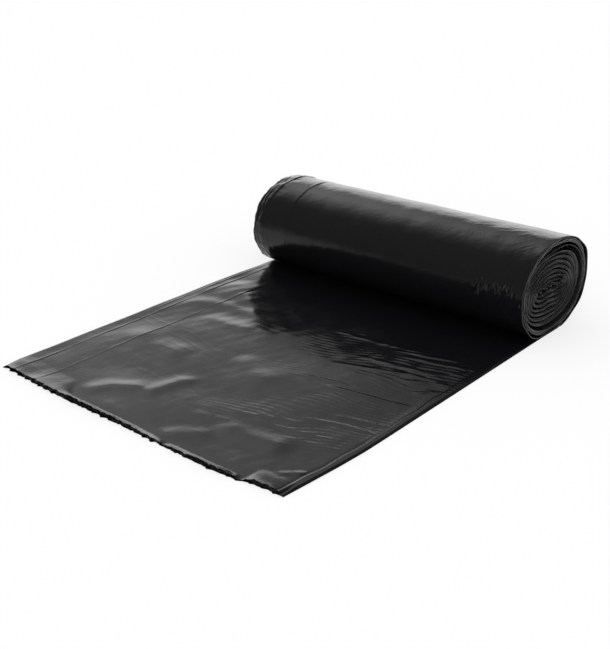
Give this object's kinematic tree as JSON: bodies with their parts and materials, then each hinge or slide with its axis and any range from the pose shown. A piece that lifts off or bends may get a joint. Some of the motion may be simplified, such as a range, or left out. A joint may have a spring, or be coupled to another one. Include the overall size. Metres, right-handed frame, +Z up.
{
  "type": "bin bag roll",
  "caption": "Coreless roll of black plastic refuse sacks with the leading sack rolled out flat to its torn perforated edge.",
  "frame": {"origin": "on the floor under the roll, at the middle of its length", "axes": "+X along the roll towards its loose right end, +Y from the torn edge towards the roll, +Z up"},
  "size_m": [0.4565, 0.6075, 0.1265],
  "materials": {
    "black_film": "glossy black polythene film"
  },
  "bodies": {
    "root": {"bag_roll": "black_film"}
  },
  "joints": []
}
